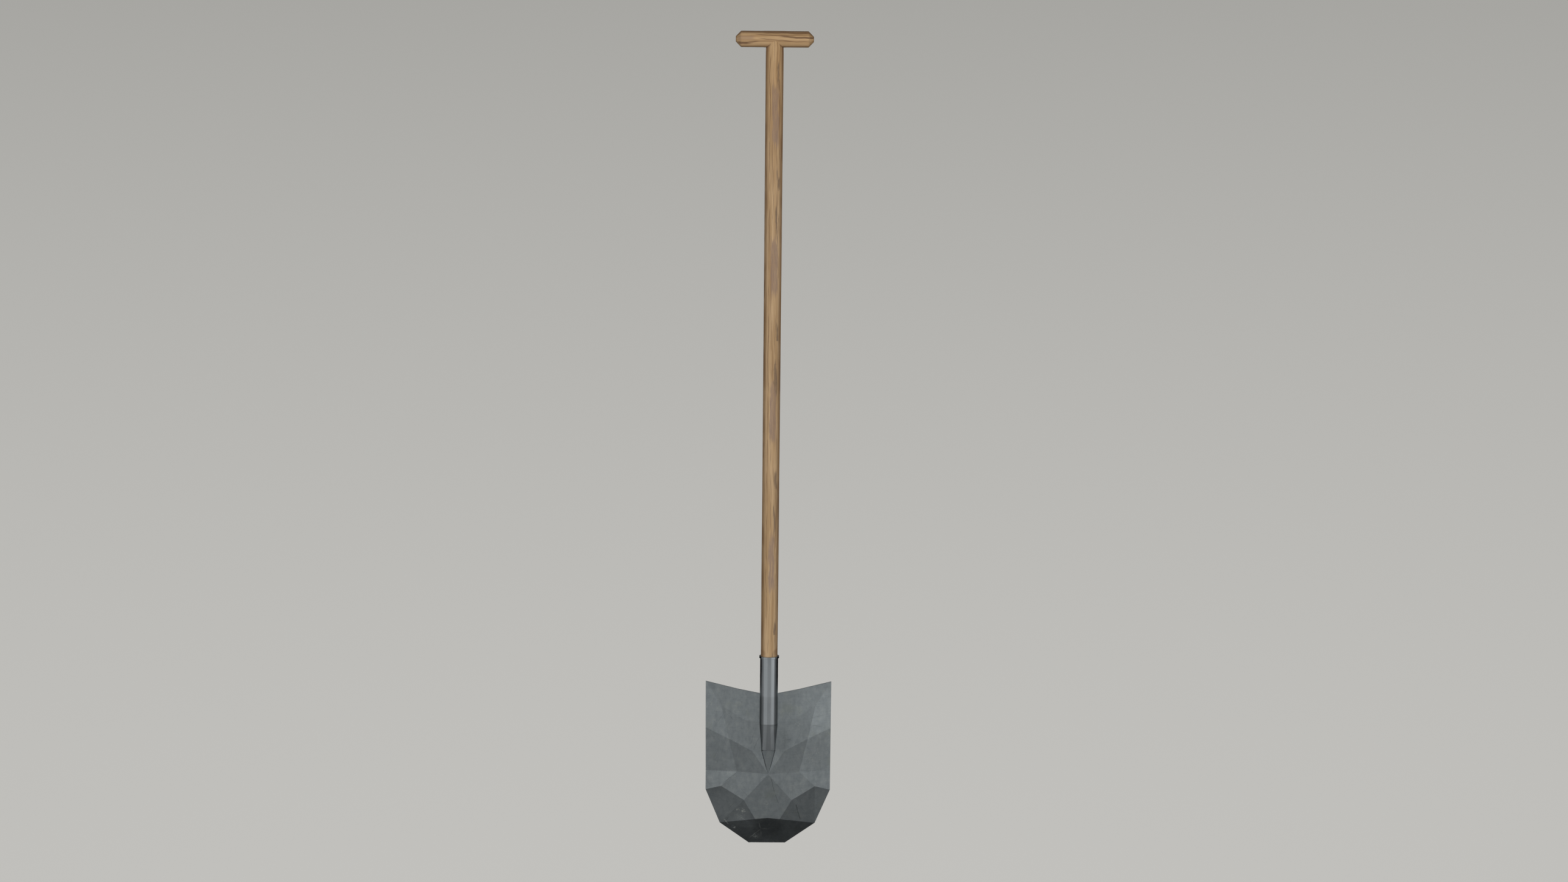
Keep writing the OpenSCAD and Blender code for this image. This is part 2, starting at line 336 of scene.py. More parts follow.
# Places with pale blots, in the same terms
PALE_BLOTS = (
    ((-0.0493, 0.0681), 0.0034, 1.00),
    ((-0.0400, 0.0662), 0.0048, 0.85),
    ((-0.0560, 0.0330), 0.0045, 0.75),
    ((-0.0022, 0.0825), 0.0055, 0.60),
    ((-0.0205, 0.0140), 0.0050, 0.55),
)
# Places on the blade's facets painted a little darker or brighter, as painted shade and painted light,
# with their radius and change
PAINTED_LIGHT_SHADE_PLACES = (
    ((-0.0880, 0.1200), 0.036, -0.12),
    ((0.0880, 0.1200), 0.036, -0.05),
    ((0.0850, 0.2450), 0.050, 0.12),
    ((0.0200, 0.1900), 0.026, -0.11),
    ((-0.0850, 0.1650), 0.032, -0.06),
    ((0.0850, 0.1650), 0.032, -0.06),
    ((0.0200, 0.1750), 0.016, -0.06),
    ((0.0020, 0.0330), 0.030, -0.22),
    ((-0.0470, 0.0340), 0.032, 0.22),
)


def places(g, rows):
    """Mask of all the round places in a table like PALE_SPECKS."""
    return most(g, *[g.mul(g.near(x, EDGE_Z + h, size), share) for (x, h), size, share in rows])


def blade_steel(name, tone):
    """Rubbed and scratched plate, with all of its colours multiplied by the tone."""
    g = Graph(name)
    cloud = g.noise(g.scaled(17.0, 17.0, 17.0), 1.0, 3.0, 0.55)
    mottle = g.noise(g.scaled(125.0, 125.0, 100.0, (3.0, 0.0, 0.0)), 1.0, 5.0, 0.68)
    rubbed = g.noise(g.scaled(160.0, 160.0, 34.0, (1.0, 2.0, 0.0)), 1.0, 3.0, 0.6)
    brushed = g.noise(g.scaled(42.0, 42.0, 520.0), 1.0, 3.0, 0.6)
    base = g.mix(g.step(cloud, 0.3, 0.7), (0.380, 0.422, 0.436), (0.412, 0.453, 0.467))
    base = g.tint(base, g.step(mottle, 0.48, 0.70), 0.55, (0.50, 0.54, 0.53))
    base = g.tint(base, g.step(mottle, 0.52, 0.30), 0.45, (0.285, 0.320, 0.338))
    base = g.tint(base, g.step(rubbed, 0.48, 0.68), 0.20, (0.50, 0.54, 0.55))
    base = g.tint(base, g.step(rubbed, 0.50, 0.30), 0.22, (0.29, 0.32, 0.33))
    base = g.tint(base, g.step(brushed, 0.50, 0.72), 0.20, (0.29, 0.32, 0.33))
    base = g.tint(base, g.step(brushed, 0.50, 0.30), 0.12, (0.50, 0.54, 0.54))
    olive = g.step(g.noise(g.scaled(26.0, 26.0, 22.0, (4.0, 0.0, 2.0)), 1.0, 3.0, 0.6), 0.58, 0.72)
    base = g.tint(base, olive, 0.25, (0.385, 0.420, 0.350))
    fleck = g.noise(g.scaled(430.0, 430.0, 380.0, (1.0, 0.0, 0.0)), 1.0, 3.0, 0.65)
    blot = g.noise(g.scaled(210.0, 210.0, 210.0, (1.0, 0.0, 0.0)), 1.0, 3.0, 0.6)
    light = g.math(
        "MAXIMUM",
        g.mul(g.step(fleck, 0.52, 0.64), places(g, PALE_SPECKS)),
        g.mul(g.step(blot, 0.44, 0.56), places(g, PALE_BLOTS)),
    )
    front = g.front()
    light = g.mul(light, front)
    base = g.tint(base, light, 0.80, (0.74, 0.77, 0.71))
    area = g.step(g.noise(g.scaled(24.0, 24.0, 24.0, (9.0, 0.0, 5.0)), 1.0, 2.0), 0.47, 0.62)
    base = g.tint(base, g.mul(g.step(fleck, 0.62, 0.70), area), 0.45, (0.68, 0.71, 0.65))
    pit = g.step(g.noise(g.scaled(330.0, 330.0, 330.0, (6.0, 0.0, 0.0)), 1.0, 2.0), 0.66, 0.74)
    base = g.tint(base, pit, 0.30, (0.20, 0.225, 0.235))
    scuff = most(
        g,
        hairlines(g, 31.0, 0.036, 0.060, 0.0006, 1.3),
        hairlines(g, -38.0, 0.040, 0.050, 0.0006, 5.1),
    )
    gouge = g.mul(marks(g, DARK_MARKS), front)
    base = g.tint(base, scuff, 0.22, (0.13, 0.145, 0.15))
    base = g.tint(base, gouge, 0.70, (0.10, 0.112, 0.115))
    pale = g.mul(marks(g, PALE_MARKS), front)
    base = g.tint(base, pale, 0.75, (0.86, 0.88, 0.82))
    # painted shade in the corners along both sides of the point, thinning out towards its tip
    share = g.math("DIVIDE", g.sub(g.z, POINT_LOW.z), POINT_HIGH.z - POINT_LOW.z)
    side = g.sub(g.math("ABSOLUTE", g.x), g.mul(share, POINT_HIGH.x - 0.0012))
    line = g.mul(g.window(side, 0.0007, 0.0004, 0.0006), g.step(share, 0.08, 0.45))
    line = g.mul(g.mul(line, front), g.invert(g.step(share, 0.99, 1.01)))
    base = g.tint(base, line, 0.78, (0.085, 0.093, 0.096))
    # painted shade and painted light on parts of the facets, on the front faces only
    painted_light_shade = 1.0
    for (x, h), size, change in PAINTED_LIGHT_SHADE_PLACES:
        painted_light_shade = g.add(painted_light_shade, g.mul(g.mul(g.near(x, EDGE_Z + h, size), front), change))
    base = g.mix(1.0, base, painted_light_shade, "MULTIPLY")
    base = g.mix(1.0, base, (tone, tone, tone), "MULTIPLY")
    cut = g.math("MAXIMUM", g.mul(scuff, 0.4), gouge)
    height = g.sub(g.add(g.mul(mottle, 0.6), g.mul(brushed, 0.10)), g.mul(cut, 0.6))
    rough = g.add(0.43, g.mul(g.step(cloud, 0.3, 0.75), 0.05))
    rough = g.add(rough, g.mul(cut, 0.15))
    rough = g.add(rough, g.mul(g.math("MAXIMUM", light, pale), 0.26))
    return g.finish(base, rough, 1.0, g.bump(height, 0.00022, 0.5))


def socket_steel():
    """Brushed tube with a darker hammered taper, painted highlights on its cheeks, and painted shade on
    its outer flats and the collar's sides.
    """
    g = Graph("socket_steel")
    long_streak = g.noise(g.scaled(420.0, 420.0, 10.0), 1.0, 3.0, 0.6)
    cloud = g.noise(g.scaled(45.0, 45.0, 30.0), 1.0, 3.0, 0.6)
    ring = g.noise(g.scaled(20.0, 20.0, 500.0), 1.0, 2.0, 0.6)
    base = g.mix(g.step(cloud, 0.3, 0.7), (0.450, 0.487, 0.505), (0.500, 0.538, 0.556))
    base = g.tint(base, g.step(long_streak, 0.5, 0.75), 0.15, (0.32, 0.345, 0.36))
    base = g.tint(base, g.step(ring, 0.55, 0.75), 0.12, (0.34, 0.365, 0.38))
    fleck = g.step(g.noise(g.scaled(230.0, 230.0, 120.0), 1.0, 3.0, 0.6), 0.64, 0.72)
    base = g.tint(base, fleck, 0.35, (0.72, 0.74, 0.70))
    # the hammered taper stayed darker than the tube, with a clear line between them
    level = g.add(g.z, g.mul(g.y, 0.15))
    hammered = g.invert(g.step(level, TAPER_TOP + 0.0005, TAPER_TOP + 0.0011))
    share = g.math("DIVIDE", g.sub(g.z, POINT_HIGH.z), TAPER_TOP - POINT_HIGH.z, clamp=True)
    wide = g.add(POINT_HIGH.x, g.mul(share, SOCKET_HIGH.x - POINT_HIGH.x))
    out = g.math("DIVIDE", g.math("ABSOLUTE", g.x), wide)
    # painted highlight: its cheeks beside the flat front are brighter, above all the right one
    flat = g.sub(g.math("ABSOLUTE", g.x), g.sub(0.0039, g.mul(share, 0.00097)))
    painted_highlight_cheek = g.add(0.05, g.mul(g.step(g.x, -0.001, 0.001), 0.31))
    painted_highlight_cheek = g.mul(g.step(flat, -0.0001, 0.0003), painted_highlight_cheek)
    painted_highlight_cheek = g.mul(painted_highlight_cheek, g.invert(g.step(g.z, TAPER_TOP - 0.0004, TAPER_TOP + 0.0002)))
    tone = g.add(0.54, painted_highlight_cheek)
    tone = g.add(1.0, g.mul(hammered, g.sub(tone, 1.0)))
    # painted shade: the outer flats of the tube and the taper are darkened, above all beside the blade,
    # and a little more below the blade's top
    front = g.step(g.mul(g.y, -1.0), 0.0020, 0.0032)
    below = g.invert(g.step(g.z, BLADE_TOP_Z - 0.006, BLADE_TOP_Z + 0.004))
    outer_flat_shade = g.add(0.40, g.mul(below, 0.36))
    tone = g.dim(tone, g.mul(g.step(out, 0.80, 0.93), outer_flat_shade), front)
    edge = g.mul(g.mul(g.step(out, 0.965, 0.985), below), g.invert(front))
    tone = g.dim(tone, edge, 0.55)
    # painted shade on the tube's left front flats
    left = g.mul(g.step(g.mul(g.x, -1.0), 0.0081, 0.0087), g.mul(below, g.invert(hammered)))
    tone = g.dim(tone, g.mul(left, front), 0.20)
    tone = g.dim(tone, g.mul(hammered, g.step(out, 0.90, 0.97)), 0.55)
    shade = g.invert(g.step(g.z, BLADE_TOP_Z - 0.003, BLADE_TOP_Z + 0.001))
    tone = g.dim(tone, g.mul(shade, g.invert(hammered)), 0.12)
    # a broken dark seam where the taper meets the point
    ragged = g.sub(g.noise(g.scaled(160.0, 20.0, 20.0, (5.0, 0.0, 0.0)), 1.0, 1.0), 0.5)
    seam = g.window(g.z, POINT_HIGH.z + 0.0009, 0.0001, 0.0006)
    seam = g.mul(seam, g.step(ragged, -0.03, 0.06))
    tone = g.dim(tone, seam, 0.60)
    # painted shade on the collar's two sides
    band = g.step(g.z, MOUTH_Z, MOUTH_Z + 0.0003)
    band = g.mul(band, g.step(g.math("ABSOLUTE", g.x), 0.0120, 0.0142))
    tone = g.dim(tone, band, 0.80)
    base = g.mix(1.0, base, tone, "MULTIPLY")
    rough = g.add(0.36, g.mul(g.step(cloud, 0.35, 0.8), 0.06))
    height = g.add(g.mul(long_streak, 0.5), g.mul(cloud, 0.3))
    return g.finish(base, rough, 1.0, g.bump(height, 0.0002, 0.4))


def rivet_steel():
    """Bright steel, filed across."""
    g = Graph("rivet_steel")
    filed = g.noise(g.scaled(200.0, 900.0, 200.0), 1.0, 2.0)
    base = g.mix(g.step(filed, 0.35, 0.7), (0.38, 0.38, 0.37), (0.55, 0.54, 0.52))
    return g.finish(base, g.add(0.34, g.mul(filed, 0.15)), 1.0, g.bump(filed, 0.0001, 0.5))


def weld_steel():
    """Weld metal with a grey and straw heat tint."""
    g = Graph("weld_steel")
    tint = g.noise(g.scaled(120.0, 120.0, 120.0), 1.0, 3.0)
    base = g.mix(g.step(tint, 0.35, 0.7), (0.16, 0.15, 0.16), (0.33, 0.28, 0.22))
    return g.finish(base, g.add(0.42, g.mul(tint, 0.2)), 0.9, g.bump(tint, 0.0003, 0.5))


WOOD_PALE = (0.565, 0.375, 0.203)
WOOD_TAN = (0.440, 0.275, 0.135)
WOOD_BROWN = (0.225, 0.125, 0.060)
WOOD_RED = (0.155, 0.072, 0.030)
WOOD_MAUVE = (0.300, 0.200, 0.140)
WOOD_GREY = (0.195, 0.130, 0.082)
WOOD_DARK = (0.130, 0.068, 0.037)
PATCH_STEP = 0.2425


def wood_base(g, layer, depth, along, seed, layers):
    """Sawn long-grained wood.

    Growth layers are stacked along one axis and wander slowly along the grain.
    """
    place = g.vector(g.add(g.mul(along, 13.0), seed), g.mul(depth, 40.0), g.mul(layer, 40.0))
    bent = g.add(layer, g.mul(g.sub(g.noise(place, 1.0, 2.0, 0.45), 0.5), 0.0075))
    place = g.vector(g.mul(bent, 170.0), g.mul(depth, 60.0), g.add(g.mul(along, 5.0), seed))
    broad = g.noise(place, 1.0, 3.0, 0.6)
    base = g.mix(g.step(broad, 0.38, 0.60), WOOD_TAN, WOOD_PALE)
    place = g.vector(g.mul(bent, layers), g.mul(depth, 70.0), g.add(g.mul(along, 6.0), seed + 3.0))
    ring = g.noise(place, 1.0, 2.0, 0.5)
    base = g.tint(base, g.step(ring, 0.55, 0.68), 0.55, WOOD_BROWN)
    fibre = g.noise(g.vector(g.mul(bent, 1300.0), g.mul(depth, 900.0), g.mul(along, 38.0)), 1.0, 2.0, 0.6)
    base = g.tint(base, g.step(fibre, 0.42, 0.75), 0.22, WOOD_BROWN)
    return base, bent, fibre


def fibre_noise(g, across_a, across_b, along, fine, long, offset, detail=3.0):
    """Noise stretched along the grain."""
    place = g.vector(g.mul(across_a, fine), g.mul(across_b, fine), g.add(g.mul(along, long), offset))
    return g.noise(place, 1.0, detail, 0.6, 0.15)


def shaft_wood():
    """The shaft's weathered wood, with its grain along Z."""
    g = Graph("shaft_wood")
    turn = g.math("ARCTAN2", g.x, g.mul(g.y, -1.0))
    layer = g.add(g.x, g.mul(g.y, 0.22))
    base, bent, fibre = wood_base(g, layer, g.y, g.z, 2.0, 300.0)
    # thin dark growth lines down the front
    ripple = g.math("SINE", g.mul(bent, 1150.0))
    broken = g.step(g.noise(g.vector(g.mul(bent, 260.0), 4.0, g.mul(g.z, 24.0)), 1.0, 2.0), 0.40, 0.56)
    line = g.mul(g.step(ripple, 0.80, 1.0), broken)
    base = g.tint(base, line, 0.55, WOOD_DARK)
    # weathered patches that come back at even steps down the shaft
    phase = g.math("FRACT", g.mul(g.z, -1.0 / PATCH_STEP))
    ragged = g.sub(fibre_noise(g, g.x, g.y, g.z, 330.0, 26.0, 11.0, 4.0), 0.5)
    turn_r = g.add(turn, g.mul(ragged, 1.0))
    phase_r = g.add(phase, g.mul(ragged, 0.26))
    heart = g.mul(g.window(turn_r, 0.16, 0.26, 0.22), g.window(phase_r, 0.50, 0.15, 0.07))
    streak = g.mul(g.window(turn_r, 0.44, 0.08, 0.10), g.window(phase_r, 0.24, 0.07, 0.05))
    spot = g.mul(g.window(turn_r, 0.62, 0.10, 0.14), g.window(phase_r, 0.95, 0.03, 0.04))
    behind = g.window(g.math("ABSOLUTE", turn_r), 2.4, 0.35, 0.4)
    behind = g.mul(behind, g.window(phase_r, 0.6, 0.2, 0.1))
    mottle = g.step(fibre_noise(g, g.x, g.y, g.z, 700.0, 60.0, 21.0), 0.3, 0.65)
    patch = g.math("MAXIMUM", heart, behind)
    base = g.tint(base, patch, g.add(0.45, g.mul(mottle, 0.45)), WOOD_MAUVE)
    grey = g.math("MAXIMUM", streak, spot)
    base = g.tint(base, grey, g.add(0.55, g.mul(mottle, 0.35)), WOOD_GREY)
    # painted shade in a reddish brown, darker towards both sides as seen from the front, most just below
    # the grip
    side = g.step(g.math("ABSOLUTE", g.math("SINE", turn)), 0.58, 0.86)
    blotch = g.step(g.noise(g.vector(g.math("SINE", turn), 2.0, g.mul(g.z, 14.0)), 1.0, 2.0), 0.45, 0.62)
    depth = g.add(g.add(0.33, g.mul(blotch, 0.32)), g.mul(g.step(g.z, -0.080, -0.025), 0.18))
    base = g.tint(base, side, depth, WOOD_RED)
    # painted shade in the corners of the joint with the grip
    away = g.sub(g.math("SQRT", g.add(g.mul(g.y, g.y), g.mul(g.z, g.z))), GRIP_R)
    painted_joint_shade = g.mul(g.invert(g.step(away, 0.0004, 0.0034)), g.step(g.math("ABSOLUTE", g.x), 0.0045, 0.0100))
    base = g.tint(base, painted_joint_shade, 0.60, WOOD_DARK)
    # paler and greyer towards the foot, away from the hands
    tint = g.mix(g.step(g.z, -0.06, -0.20), (1.0, 1.0, 1.0), (1.02, 1.06, 1.14))
    tint = g.mix(g.step(g.z, -0.30, -1.00), tint, (1.07, 1.13, 1.22))
    base = g.mix(1.0, base, tint, "MULTIPLY")
    # reddish stains on both sides, just above the collar
    stain = most(
        g,
        g.near(-0.0122, COLLAR_HIGH.z + 0.006, 0.0075),
        g.near(0.0115, COLLAR_HIGH.z + 0.007, 0.0075),
    )
    base = g.tint(base, stain, g.add(0.15, g.mul(mottle, 0.30)), WOOD_RED)
    rough = g.add(0.52, g.mul(fibre, 0.18))
    height = g.sub(g.mul(fibre, 0.6), g.mul(line, 0.8))
    return g.finish(base, rough, 0.0, g.bump(height, 0.0004, 0.6), Specular_IOR_Level=0.3)


def long_streak(g, level, start, end, height, slope, half, wave):
    """Mask of one dark streak along the grip.

    It runs from start to end in x, at a height that changes with x.
    """
    middle = g.add(height, g.add(g.mul(g.x, slope), wave))
    off = g.math("ABSOLUTE", g.sub(level, middle))
    ends = g.mul(g.step(g.x, start, start + 0.012), g.invert(g.step(g.x, end - 0.012, end)))
    return g.mul(g.invert(g.step(off, half * 0.5, half * 1.5)), ends)


def grip_wood():
    """The grip's wood, with its grain along X and dark streaks on its front."""
    g = Graph("grip_wood")
    layer = g.add(g.z, g.mul(g.y, 0.2))
    base, bent, fibre = wood_base(g, layer, g.y, g.x, 6.5, 330.0)
    wave = g.mul(g.sub(g.noise(g.scaled(38.0, 8.0, 8.0, (1.0, 0.0, 0.0)), 1.0, 2.0), 0.5), 0.0035)
    front = g.invert(g.step(g.y, -0.002, 0.004))
    grey = g.mul(g.window(g.x, -0.047, 0.008, 0.010), g.window(bent, 0.0005, 0.0018, 0.0020))
    base = g.tint(base, g.mul(grey, front), 0.45, WOOD_MAUVE)
    dark = most(
        g,
        long_streak(g, g.z, 0.004, 0.090, 0.0046, -0.036, 0.00125, wave),
        g.mul(long_streak(g, g.z, -0.034, 0.030, 0.0060, -0.055, 0.00060, wave), 0.75),
        g.mul(long_streak(g, g.z, -0.030, 0.034, -0.0008, -0.090, 0.00060, wave), 0.75),
        g.mul(long_streak(g, g.z, 0.010, 0.070, -0.0032, -0.010, 0.00045, wave), 0.5),
        long_streak(g, g.z, -0.066, -0.034, -0.0064, -0.012, 0.00200, wave),
        g.mul(long_streak(g, g.z, -0.052, -0.022, -0.0022, 0.055, 0.00110, wave), 0.75),
        g.mul(long_streak(g, g.z, -0.022, 0.060, 0.0100, -0.004, 0.00095, wave), 0.75),
    )
    grain = g.add(0.72, g.mul(g.step(fibre, 0.35, 0.60), 0.28))
    base = g.tint(base, g.mul(g.mul(dark, front), grain), 0.88, WOOD_DARK)
    # painted shade along the top, the bottom and the chamfers' outlines
    reach = g.math("ABSOLUTE", g.x)
    local = g.math("MINIMUM", GRIP_R, g.sub(GRIP_HIGH.x + GRIP_FACE_R, reach))
    up = g.math("DIVIDE", g.z, local)
    base = g.tint(base, g.step(up, 0.62, 0.90), 0.66, WOOD_RED)
    base = g.tint(base, g.step(g.mul(up, -1.0), 0.72, 0.97), 0.48, WOOD_RED)
    ends = g.step(reach, GRIP_HIGH.x - 0.0016, GRIP_HIGH.x - 0.0004)
    base = g.tint(base, ends, 0.45, WOOD_RED)
    rough = g.add(0.46, g.mul(fibre, 0.2))
    height = g.sub(g.mul(fibre, 0.6), g.mul(dark, 0.5))
    return g.finish(base, rough, 0.0, g.bump(height, 0.0004, 0.6), Specular_IOR_Level=0.3)


def end_grain(name, light, dark, centre):
    """Rings and open pores on wood cut across its grain."""
    g = Graph(name)
    off = g.vector(g.sub(g.x, centre[0]), g.sub(g.y, centre[1]), 0.0)
    ring = g.tree.nodes.new("ShaderNodeVectorMath")
    ring.operation = "LENGTH"
    g.put(ring.inputs[0], off)
    drift = g.mul(g.noise(g.scaled(90.0, 90.0, 90.0), 1.0, 2.0), 0.002)
    wave = g.math("SINE", g.mul(g.add(ring.outputs["Value"], drift), 3600.0))
    pores = g.invert(g.step(g.cells(g.scaled(1.0, 1.0, 1.0), 900.0), 0.12, 0.3))
    base = g.mix(g.step(wave, -0.6, 0.9), light, dark)
    base = g.tint(base, pores, 0.5, (0.06, 0.04, 0.025))
    height = g.sub(g.mul(wave, 0.2), pores)
    rough = g.add(0.62, g.mul(pores, 0.15))
    return g.finish(base, rough, 0.0, g.bump(height, 0.0002, 0.6), Specular_IOR_Level=0.25)


# ---------------------------------------------------------------- stage and light
HANG_GAP = 0.35
FADE_LENGTH = 9.0


def make_floor():
    """A wide pale floor below the hanging shovel that glows by itself, with painted light fading darker
    with distance.
    """
    mesh = bpy.data.meshes.new("floor")
    edge = 300.0
    z = EDGE_Z - HANG_GAP
    corners = [(-edge, -edge, z), (edge, -edge, z), (edge, edge, z), (-edge, edge, z)]
    mesh.from_pydata(corners, [], [(0, 1, 2, 3)])
    floor = bpy.data.objects.new("floor", mesh)
    bpy.context.scene.collection.objects.link(floor)
    material = bpy.data.materials.new("floor_painted_glow")
    material.use_nodes = True
    tree = material.node_tree
    tree.nodes.clear()
    place = tree.nodes.new("ShaderNodeTexCoord").outputs["Object"]
    away = tree.nodes.new("ShaderNodeVectorMath")
    away.operation = "LENGTH"
    tree.links.new(place, away.inputs[0])
    fade = tree.nodes.new("ShaderNodeMath")
    fade.operation = "DIVIDE"
    fade.inputs[0].default_value = FADE_LENGTH
    reach = tree.nodes.new("ShaderNodeMath")
    reach.operation = "ADD"
    reach.inputs[1].default_value = FADE_LENGTH
    tree.links.new(away.outputs["Value"], reach.inputs[0])
    tree.links.new(reach.outputs[0], fade.inputs[1])
    ramp = tree.nodes.new("ShaderNodeValToRGB")
    ramp.color_ramp.elements[0].position = 0.1
    ramp.color_ramp.elements[0].color = (0.385, 0.380, 0.360, 1.0)
    ramp.color_ramp.elements[1].position = 0.85
    ramp.color_ramp.elements[1].color = (0.545, 0.538, 0.515, 1.0)
    tree.links.new(fade.outputs[0], ramp.inputs[0])
    # the floor glows instead of being lit: painted light, brightest near the shovel
    glow = tree.nodes.new("ShaderNodeEmission")
    tree.links.new(ramp.outputs[0], glow.inputs[0])
    out = tree.nodes.new("ShaderNodeOutputMaterial")
    tree.links.new(glow.outputs[0], out.inputs[0])
    mesh.materials.append(material)
    floor.visible_diffuse = False
    floor.visible_glossy = False
    floor.visible_shadow = False


# Soft bright areas that the steel mirrors: azimuth, with 0 at the front, elevation, spread and brightness
PANELS = [
    (-54, -18, 33, 0.55),
    (57, -8, 23, 0.81),
    (14, -51, 25, 0.24),
    (6, -10, 35, 0.35),
    (180, -14, 26, 0.22),
    (180, 48, 40, 0.30),
]
# Brightness that the steel mirrors away from all the panels
MIRROR_BASE = 0.006


def make_world():
    """The steel mirrors the panels, other surfaces get an even fill, and the camera sees pale grey."""
    world = bpy.data.worlds.new("studio")
    bpy.context.scene.world = world
    world.use_nodes = True
    tree = world.node_tree
    tree.nodes.clear()
    links = tree.links
    out = tree.nodes.new("ShaderNodeOutputWorld")
    direction = tree.nodes.new("ShaderNodeTexCoord").outputs["Generated"]
    total = MIRROR_BASE
    for azimuth, elevation, spread, brightness in PANELS:
        a, e = math.radians(azimuth), math.radians(elevation)
        centre = (math.sin(a) * math.cos(e), -math.cos(a) * math.cos(e), math.sin(e))
        dot = tree.nodes.new("ShaderNodeVectorMath")
        dot.operation = "DOT_PRODUCT"
        links.new(direction, dot.inputs[0])
        dot.inputs[1].default_value = centre
        edge = tree.nodes.new("ShaderNodeMapRange")
        edge.interpolation_type = "SMOOTHSTEP"
        links.new(dot.outputs["Value"], edge.inputs["Value"])
        edge.inputs["From Min"].default_value = math.cos(math.radians(spread * 1.3))
        edge.inputs["From Max"].default_value = math.cos(math.radians(spread * 0.5))
        edge.inputs["To Max"].default_value = brightness
        add = tree.nodes.new("ShaderNodeMath")
        add.operation = "ADD"
        links.new(edge.outputs["Result"], add.inputs[0])
        if isinstance(total, float):
            add.inputs[1].default_value = total
        else:
            links.new(total, add.inputs[1])
        total = add.outputs[0]
    mirrored = tree.nodes.new("ShaderNodeBackground")
    links.new(total, mirrored.inputs["Strength"])
    mirrored.inputs["Color"].default_value = (1.0, 1.0, 1.0, 1.0)
    fill = tree.nodes.new("ShaderNodeBackground")
    fill.inputs["Color"].default_value = (1.0, 0.99, 0.97, 1.0)
    fill.inputs["Strength"].default_value = 0.10
    sky = tree.nodes.new("ShaderNodeBackground")
    sky.inputs["Color"].default_value = (0.385, 0.380, 0.360, 1.0)
    path = tree.nodes.new("ShaderNodeLightPath")
    first = tree.nodes.new("ShaderNodeMixShader")
    links.new(path.outputs["Is Glossy Ray"], first.inputs[0])
    links.new(fill.outputs[0], first.inputs[1])
    links.new(mirrored.outputs[0], first.inputs[2])
    second = tree.nodes.new("ShaderNodeMixShader")
    links.new(path.outputs["Is Camera Ray"], second.inputs[0])
    links.new(first.outputs[0], second.inputs[1])
    links.new(sky.outputs[0], second.inputs[2])
    links.new(second.outputs[0], out.inputs[0])


def make_light(name, azimuth, elevation, distance, size, watts):
    """A soft area light that looks at the middle of the shovel and isn't mirrored."""
    data = bpy.data.lights.new(name, "AREA")
    data.shape = "RECTANGLE"
    data.size, data.size_y = size
    data.energy = watts
    light = bpy.data.objects.new(name, data)
    bpy.context.scene.collection.objects.link(light)
    a, e = math.radians(azimuth), math.radians(elevation)
    away = Vector((math.sin(a) * math.cos(e), -math.cos(a) * math.cos(e), math.sin(e)))
    middle = (CAD_LOW + CAD_HIGH) / 2
    light.location = middle + away * distance
    light.rotation_euler = (-away).to_track_quat("-Z", "Y").to_euler()
    light.visible_glossy = False


def make_lights():
    """Two soft lights in front and one behind."""
    make_light("soft_left", -34, 12, 4.2, (1.6, 2.6), 76.0)
    make_light("soft_right", 34, 12, 4.2, (1.6, 2.6), 80.0)
    make_light("soft_back", 180, 20, 4.2, (2.4, 2.4), 60.0)


# ---------------------------------------------------------------- meshes
def add_piece(name, mesh, material, replaced):
    """Puts a mesh into the scene as a piece of the shovel, in place of the CAD nodes that it replaces."""
    piece = bpy.data.objects.new(name, mesh)
    bpy.context.scene.collection.objects.link(piece)
    mesh.materials.clear()
    mesh.materials.append(material)
    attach(piece, ROOT)
    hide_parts(*replaced)


def dress(node, material):
    """A CAD node keeps its shape and gets its finish."""
    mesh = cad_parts[node].data
    mesh.materials.clear()
    mesh.materials.append(material)


def to_mesh(work, name, sharp_angle):
    """Finishes a bmesh: outward faces, smooth shading, and sharp edges above the given angle."""
    bmesh.ops.recalc_face_normals(work, faces=work.faces)
    for face in work.faces:
        face.smooth = sharp_angle > 0
    limit = math.radians(sharp_angle)
    for edge in work.edges:
        edge.smooth = len(edge.link_faces) == 2 and edge.calc_face_angle() < limit
    mesh = bpy.data.meshes.new(name)
    work.to_mesh(mesh)
    work.free()
    return mesh


def cad_copy(node):
    """A welded working copy of a CAD node's mesh, with each flat facet made one face."""
    work = bmesh.new()
    work.from_mesh(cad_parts[node].data)
    work.transform(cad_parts[node].matrix_world)
    bmesh.ops.remove_doubles(work, verts=work.verts, dist=0.00002)
    bmesh.ops.dissolve_limit(work, angle_limit=math.radians(0.6), verts=work.verts, edges=work.edges)
    return work


def bevel_edges(work, width, segments, low_angle, high_angle=180.0):
    """Bevels the edges whose faces meet at an angle between the two given, in degrees."""
    low, high = math.radians(low_angle), math.radians(high_angle)
    edges = [e for e in work.edges if len(e.link_faces) == 2 and low < e.calc_face_angle() < high]
    bmesh.ops.bevel(
        work, geom=edges, offset=width, segments=segments, affect="EDGES", profile=0.5,
        clamp_overlap=True, offset_type="OFFSET",
    )


